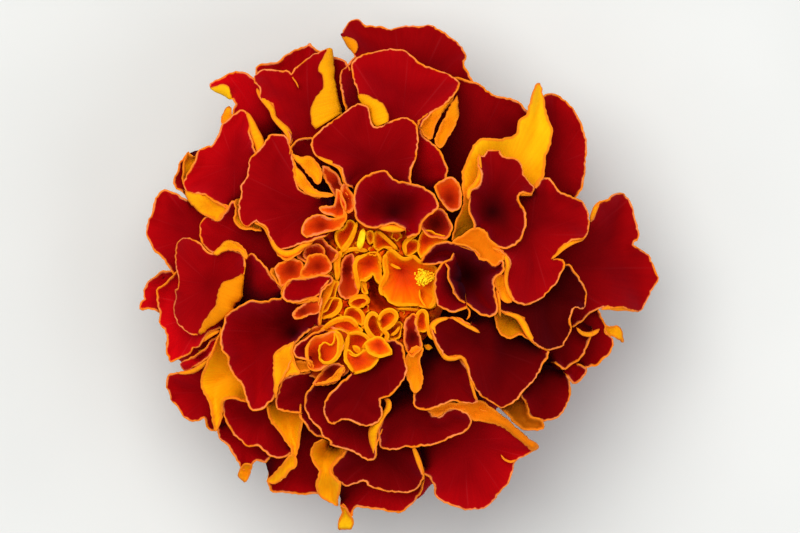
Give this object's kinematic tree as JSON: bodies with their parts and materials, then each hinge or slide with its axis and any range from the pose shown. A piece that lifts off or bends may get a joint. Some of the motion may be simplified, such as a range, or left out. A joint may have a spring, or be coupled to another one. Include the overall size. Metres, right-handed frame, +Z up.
{
  "type": "marigold flower",
  "caption": "Double French marigold bloom with layered, waved, dark red petals edged in orange, orange disc florets and a ribbed green cup, lying face up.",
  "frame": {"origin": "centre of the bloom's width and depth, on the surface it lies on", "axes": "+Z up out of the bloom's face, +X to the right and +Y to the top of the picture"},
  "size_m": [0.0554, 0.0548, 0.0322],
  "materials": {
    "green_cup": "matte, faintly waxy plant tissue",
    "petal": "velvety, dark red upper face with a thin orange edge and a golden orange reverse",
    "disc_floret": "matte, orange with yellow-orange lobes"
  },
  "bodies": {
    "root": {"involucre": "green_cup", "ray_florets": "petal", "disc_florets": "disc_floret"}
  },
  "joints": []
}
